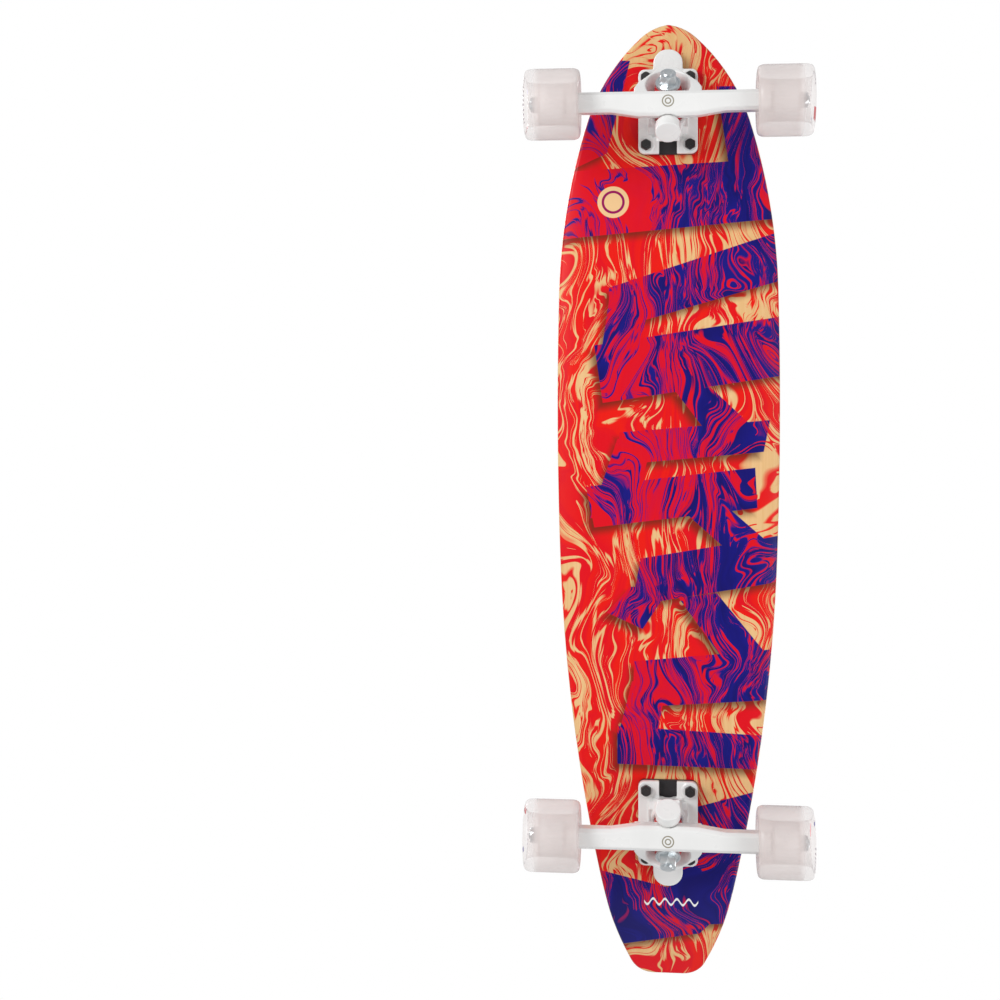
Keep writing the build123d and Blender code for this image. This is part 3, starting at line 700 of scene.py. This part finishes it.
def tyre_print(g, radius, angle, away):
    """The masks of the print on the outer side: a wedge, a dot and a row of ticks."""
    outer = g.step(away, WHEEL_HALF - 0.0035, 0.0004)
    ring = g.math("MULTIPLY", g.step(radius, 0.0222, 0.0003), g.invert(g.step(radius, 0.0268, 0.0003)))
    ring = g.math("MULTIPLY", ring, outer)
    thin = g.near(radius, 0.0245, 0.0014, 0.0002)
    wedge = g.near(angle, -2.3, 0.30, 0.02)
    dot = g.math("MULTIPLY", g.near(angle, 2.2, 0.11, 0.02), thin)
    ticks = g.step(g.math("FRACT", g.math("MULTIPLY", angle, 5.6)), 0.62, 0.05)
    ticks = g.math("MULTIPLY", ticks, g.step(angle, -1.2, 0.01))
    ticks = g.math("MULTIPLY", ticks, g.invert(g.step(angle, 1.3, 0.01)))
    ticks = g.math("MULTIPLY", ticks, thin)
    return [g.math("MULTIPLY", ring, mask) for mask in (wedge, dot, ticks)]


def urethane_density(g, away):
    """Denser at glancing angles, and clearer near the outer side and behind the first surface."""
    path = g.add("LightPath")
    layers = g.add("LayerWeight")
    g.put(layers.inputs["Blend"], 0.35)
    density = g.remap(layers.outputs["Facing"], 0.10, 0.90, 0.76, 0.95)
    clear = g.step(away, 0.0150, 0.0050)
    density = g.math("MULTIPLY", density, g.remap(clear, 0.0, 1.0, 1.0, 0.40))
    first = g.math("LESS_THAN", path.outputs["Transparent Depth"], 0.5)
    return g.math("MULTIPLY", density, g.remap(first, 0.0, 1.0, 0.70, 1.0))


def tyre_material(name, centre, outward, turn):
    """Translucent urethane with a plain print on the outer side."""
    g = Graph(name)
    x, y, z = g.split(g.place)
    dx = g.math("SUBTRACT", x, centre.x)
    dz = g.math("SUBTRACT", z, centre.z)
    radius = g.vector("LENGTH", g.join(dx, dz, 0.0))
    angle = g.math("ADD", g.math("ARCTAN2", dz, dx), turn)
    angle = g.math("WRAP", angle, math.pi, -math.pi)
    away = g.math("MULTIPLY", g.math("SUBTRACT", y, centre.y), outward)
    cloud = g.noise(g.place, 90.0, 3.0).outputs[0]
    colour = g.mix(g.remap(cloud, 0.3, 0.7, 0.0, 1.0), (0.85, 0.765, 0.740), (0.82, 0.735, 0.712))
    inks = ((0.80, 0.03, 0.06), (0.03, 0.05, 0.45), (0.25, 0.22, 0.30))
    alpha = urethane_density(g, away)
    for mask, ink in zip(tyre_print(g, radius, angle, away), inks):
        colour = g.mix(mask, colour, ink)
        alpha = g.math("MAXIMUM", alpha, mask)
    fine = g.noise(g.place, 800.0, 2.0).outputs[0]
    g.set(Base_Color=colour, Roughness=g.remap(fine, 0.3, 0.7, 0.16, 0.26), IOR=1.45)
    g.set(Alpha=alpha, Normal=g.bump(fine, 0.03, 0.0001))
    return g.material


def make_tyre(end, side, turn):
    """The tyre turned finely, dished beside the core and rounded at the lips."""
    name = f"{end}_{side}"
    joint = JOINTS[name + "_spin"]
    centre = Vector(joint["pos_m"])
    outward = 1 if side == "left" else -1
    half, r, core = WHEEL_HALF, WHEEL_RADIUS, CORE_RADIUS
    points = [
        (core, -0.012),
        (core, 0.012),
        (core + 0.0015, half - 0.0030),
        (core + 0.0042, half - 0.0008),
        (r - 0.0050, half),
        (r - 0.0015, half - 0.0012),
        (r, half - 0.0052),
        (r, 0.0),
        (r, 0.0052 - half),
        (r - 0.0015, 0.0012 - half),
        (r - 0.0050, -half),
        (core + 0.0042, 0.0008 - half),
        (core + 0.0015, 0.0030 - half),
    ]
    piece = lathe(name + "_tyre_cast", rounded(points, 0.0022, 5), centre, (0, 1, 0), 96)
    dress(piece, tyre_material(name + "_urethane", centre, outward, turn))
    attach(piece, name + "_wheel")
    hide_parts(name + "_tyre")


# ------------------------------------------------------------------ stage


def make_floor():
    """A pale floor that only a camera above it sees."""
    bpy.ops.mesh.primitive_plane_add(size=8.0, location=(0, 0, -0.0002))
    floor = bpy.context.object
    floor.name = "floor"
    material = bpy.data.materials.new("pale_floor")
    material.use_nodes = True
    tree = material.node_tree
    shader = tree.nodes["Principled BSDF"]
    shader.inputs["Base Color"].default_value = (0.80, 0.80, 0.79, 1.0)
    shader.inputs["Roughness"].default_value = 0.7
    clear = tree.nodes.new("ShaderNodeBsdfTransparent")
    path = tree.nodes.new("ShaderNodeLightPath")
    side = tree.nodes.new("ShaderNodeNewGeometry")
    above = tree.nodes.new("ShaderNodeMath")
    above.operation = "SUBTRACT"
    above.inputs[0].default_value = 1.0
    seen = tree.nodes.new("ShaderNodeMath")
    seen.operation = "MULTIPLY"
    mix = tree.nodes.new("ShaderNodeMixShader")
    tree.links.new(side.outputs["Backfacing"], above.inputs[1])
    tree.links.new(above.outputs[0], seen.inputs[0])
    tree.links.new(path.outputs["Is Camera Ray"], seen.inputs[1])
    tree.links.new(seen.outputs[0], mix.inputs[0])
    tree.links.new(clear.outputs[0], mix.inputs[1])
    tree.links.new(shader.outputs[0], mix.inputs[2])
    tree.links.new(mix.outputs[0], tree.nodes["Material Output"].inputs["Surface"])
    floor.data.materials.append(material)


def make_world():
    """A studio: white behind the object, and for its lighting dim straight above and below."""
    world = bpy.data.worlds.new("studio")
    bpy.context.scene.world = world
    world.use_nodes = True
    tree = world.node_tree
    background = tree.nodes["Background"]
    coordinates = tree.nodes.new("ShaderNodeTexCoord")
    split = tree.nodes.new("ShaderNodeSeparateXYZ")
    height = tree.nodes.new("ShaderNodeMath")
    height.operation = "ABSOLUTE"
    ramp = tree.nodes.new("ShaderNodeValToRGB")
    elements = ramp.color_ramp.elements
    elements[0].position = 0.0
    elements[0].color = (0.36, 0.37, 0.39, 1.0)
    elements[1].position = 1.0
    elements[1].color = (0.20, 0.20, 0.21, 1.0)
    for position, tone in ((0.22, 0.54), (0.50, 0.78), (0.80, 0.58)):
        element = elements.new(position)
        element.color = (tone, tone, tone * 1.01, 1.0)
    path = tree.nodes.new("ShaderNodeLightPath")
    mix = tree.nodes.new("ShaderNodeMix")
    mix.data_type = "RGBA"
    mix.inputs[7].default_value = (1.0, 1.0, 1.0, 1.0)
    tree.links.new(coordinates.outputs["Generated"], split.inputs[0])
    tree.links.new(split.outputs[2], height.inputs[0])
    tree.links.new(height.outputs[0], ramp.inputs[0])
    tree.links.new(path.outputs["Is Camera Ray"], mix.inputs[0])
    tree.links.new(ramp.outputs[0], mix.inputs[6])
    tree.links.new(mix.outputs[2], background.inputs["Color"])


KEY_SIZE, KEY_POWER = 1.2, 27.0
FILL_SIZE, FILL_POWER = 1.6, 14.0
LIGHT_TARGET = Vector((0, 0, 0.05))


def make_light(name, place, size, power):
    """A round soft light aimed at the board."""
    light = bpy.data.lights.new(name, "AREA")
    light.shape = "DISK"
    light.size = size
    light.energy = power
    obj = bpy.data.objects.new(name, light)
    obj.location = place
    obj.rotation_euler = (LIGHT_TARGET - Vector(place)).to_track_quat("-Z", "Y").to_euler()
    bpy.context.collection.objects.link(obj)


CAMERA_X = 0.1175
CAMERA_DISTANCE = 1.500
CAMERA_TURN = math.radians(6.11)
CAMERA_LENS = 56.5
CAMERA_SHIFT = -0.118


def make_camera():
    """Below the board, looking up at its underside with the nose at the top."""
    data = bpy.data.cameras.new("camera")
    camera = bpy.data.objects.new("camera", data)
    bpy.context.collection.objects.link(camera)
    data.sensor_width = 36.0
    data.lens = CAMERA_LENS
    data.shift_y = CAMERA_SHIFT
    forward = Vector((0, -math.sin(CAMERA_TURN), math.cos(CAMERA_TURN)))
    up = Vector((1, 0, 0))
    right = forward.cross(up)
    basis = Matrix((right, up, -forward)).transposed().to_4x4()
    place = (CAMERA_X, 0, DECK_UNDERSIDE - CAMERA_DISTANCE)
    camera.matrix_world = Matrix.Translation(place) @ basis
    bpy.context.scene.camera = camera


# ------------------------------------------------------------------ build

make_camera()
make_floor()
make_world()
make_light("under_key", (0.9, -1.5, -1.5), KEY_SIZE, KEY_POWER)
make_light("under_fill", (-0.7, 1.6, -1.2), FILL_SIZE, FILL_POWER)
make_light("top_key", (0.9, -1.5, 1.7), KEY_SIZE, KEY_POWER)
make_light("top_fill", (-0.9, 1.5, 1.3), FILL_SIZE, FILL_POWER)
bpy.context.scene.view_settings.view_transform = "Standard"

zinc = metal_material("bright_zinc", (0.76, 0.79, 0.80), (0.66, 0.70, 0.72), 0.34)
steel = metal_material("ground_steel", (0.70, 0.70, 0.70), (0.60, 0.60, 0.61), 0.24)
black_steel = plain_material("black_oxide", (0.018, 0.018, 0.018), (0.035, 0.035, 0.035), 0.38)
riser_rubber = plain_material("riser_rubber", (0.012, 0.011, 0.012), (0.022, 0.018, 0.020), 0.55, 400.0, 0.3)
core_plastic = plain_material("core_plastic", (0.88, 0.85, 0.84), (0.80, 0.77, 0.76), 0.35)
shield_plastic = plain_material("shield_plastic", (0.05, 0.05, 0.055), (0.08, 0.08, 0.085), 0.45)
cage_plastic = plain_material("cage_plastic", (0.65, 0.60, 0.45), (0.55, 0.50, 0.38), 0.5)
cup_plastic = plain_material("cup_plastic", (0.62, 0.62, 0.60), (0.52, 0.52, 0.50), 0.45)
paint = paint_material()
red = bushing_material()

dress("deck", deck_material())
dress("grip_tape", grip_material())
turn = 0.0
for end in ENDS:
    dress(f"{end}_riser_pad", riser_rubber)
    dress(f"{end}_pivot_cup", cup_plastic)
    dress(f"{end}_mounting_bolts", black_steel)
    dress(f"{end}_mounting_nuts", black_steel)
    for name in ("kingpin", "kingpin_nut", "deck_washer", "road_washer", "axle", "axle_nuts"):
        dress(f"{end}_{name}", zinc)
    for name in ("speed_washers", "bearing_spacers", "bearing_inner_rings"):
        dress(f"{end}_{name}", steel)
    cast_copy(f"{end}_baseplate", "root", paint)
    cast_copy(f"{end}_hanger", f"{end}_truck", paint)
    make_bushings(end, red)
    for side in SIDES:
        dress(f"{end}_{side}_core", core_plastic)
        dress(f"{end}_{side}_bearing_outer_rings", steel)
        dress(f"{end}_{side}_bearing_balls", steel)
        dress(f"{end}_{side}_bearing_shields", shield_plastic)
        dress(f"{end}_{side}_bearing_cages", cage_plastic)
        make_tyre(end, side, turn)
        turn += PRINT_TURN
